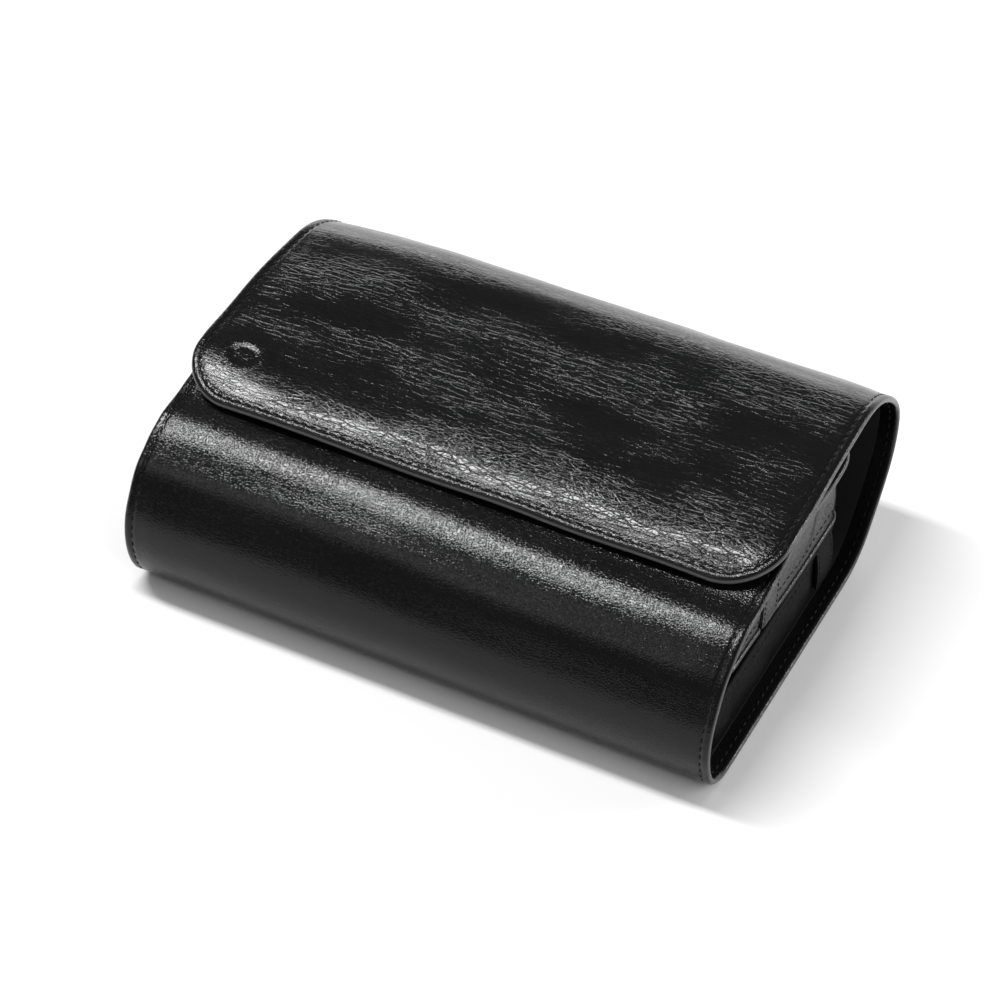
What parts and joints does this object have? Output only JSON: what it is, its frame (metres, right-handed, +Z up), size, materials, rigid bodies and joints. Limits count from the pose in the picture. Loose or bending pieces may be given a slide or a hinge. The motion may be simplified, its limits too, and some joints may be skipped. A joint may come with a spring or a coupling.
{
  "type": "fold-over travel case",
  "caption": "Fold-over leather travel case: one lined hide wound round zipped pouches, open at both ends, with a magnet-held flap over a lifting inner leaf.",
  "frame": {"origin": "centre of the case's outline in plan, on the surface it rests on", "axes": "+X along the folds from one open end to the other, +Y from the flap's free edge to the back, +Z up"},
  "size_m": [0.24, 0.17, 0.08],
  "materials": {
    "glazed_hide": "black glazed full-grain hide with a fine crease grain",
    "lining_cloth": "matte black napped lining",
    "stiffener_board": "bonded leather-fibre board",
    "magnet": "nickel-plated disc",
    "pouch_hide": "smooth black glazed leather",
    "pouch_lining_cloth": "plain woven lining cloth",
    "zip_tape": "black woven tape",
    "zip_metal": "polished dark nickel"
  },
  "bodies": {
    "case": {"body_leather": "glazed_hide", "body_lining": "lining_cloth", "front_board": "stiffener_board", "bottom_board": "stiffener_board", "back_board": "stiffener_board", "leaf_fold_leather": "glazed_hide", "leaf_fold_lining": "lining_cloth", "lower_pouch_gusset": "pouch_hide", "lower_pouch_face": "pouch_hide", "lower_pouch_lining": "pouch_lining_cloth", "lower_zip_tape": "zip_tape", "lower_zip_teeth": "zip_metal", "lower_zip_stops": "zip_metal", "lower_zip_tabs": "pouch_hide"},
    "fold": {"flap_fold_leather": "glazed_hide", "flap_fold_lining": "lining_cloth"},
    "flap": {"flap_leather": "glazed_hide", "flap_lining": "lining_cloth", "flap_board": "stiffener_board", "flap_magnets": "magnet"},
    "leaf": {"leaf_leather": "glazed_hide", "leaf_lining": "lining_cloth", "leaf_board": "stiffener_board", "leaf_keepers": "magnet", "upper_pouch_gusset": "pouch_hide", "upper_pouch_face": "pouch_hide", "upper_pouch_lining": "pouch_lining_cloth", "upper_zip_tape": "zip_tape", "upper_zip_teeth": "zip_metal", "upper_zip_stops": "zip_metal", "upper_zip_tabs": "pouch_hide"},
    "lower_slider": {"lower_zip_slider": "zip_metal"},
    "lower_pull": {"lower_zip_pull": "zip_metal"},
    "upper_slider": {"upper_zip_slider": "zip_metal"},
    "upper_pull": {"upper_zip_pull": "zip_metal"}
  },
  "joints": [
    {"name": "back_fold_hinge", "type": "hinge", "parent": "case", "child": "fold", "pos_m": [0, 0.0796, 0.0611], "axis": [-1, 0, 0], "range_deg": [0, 108], "deforming": ["flap_fold_leather", "flap_fold_lining"]},
    {"name": "flap_hinge", "type": "hinge", "parent": "fold", "child": "flap", "pos_m": [0, 0.0658, 0.0732], "axis": [-1, 0, 0], "range_deg": [0, 108]},
    {"name": "leaf_hinge", "type": "hinge", "parent": "case", "child": "leaf", "pos_m": [0, -0.0511, 0.0633], "axis": [1, 0, 0], "range_deg": [0, 83], "deforming": ["leaf_fold_leather", "leaf_fold_lining"]},
    {"name": "lower_zip_slide", "type": "slide", "parent": "case", "child": "lower_slider", "axis": [1, 0, 0], "range_m": [0, 0.182]},
    {"name": "lower_pull_swivel", "type": "hinge", "parent": "lower_slider", "child": "lower_pull", "pos_m": [-0.094, 0.0324, 0.0296], "axis": [0, 0, 1], "range_deg": [-60, 60]},
    {"name": "upper_zip_slide", "type": "slide", "parent": "leaf", "child": "upper_slider", "axis": [1, 0, 0], "range_m": [0, 0.182]},
    {"name": "upper_pull_swivel", "type": "hinge", "parent": "upper_slider", "child": "upper_pull", "pos_m": [-0.094, -0.018, 0.0314], "axis": [0, 0, 1], "range_deg": [-60, 60]}
  ],
  "couplings": [
    {"joint": "flap_hinge", "follows": "back_fold_hinge", "ratio": 1},
    {"joint": "leaf_hinge", "follows": "back_fold_hinge", "ratio": 0.76}
  ]
}
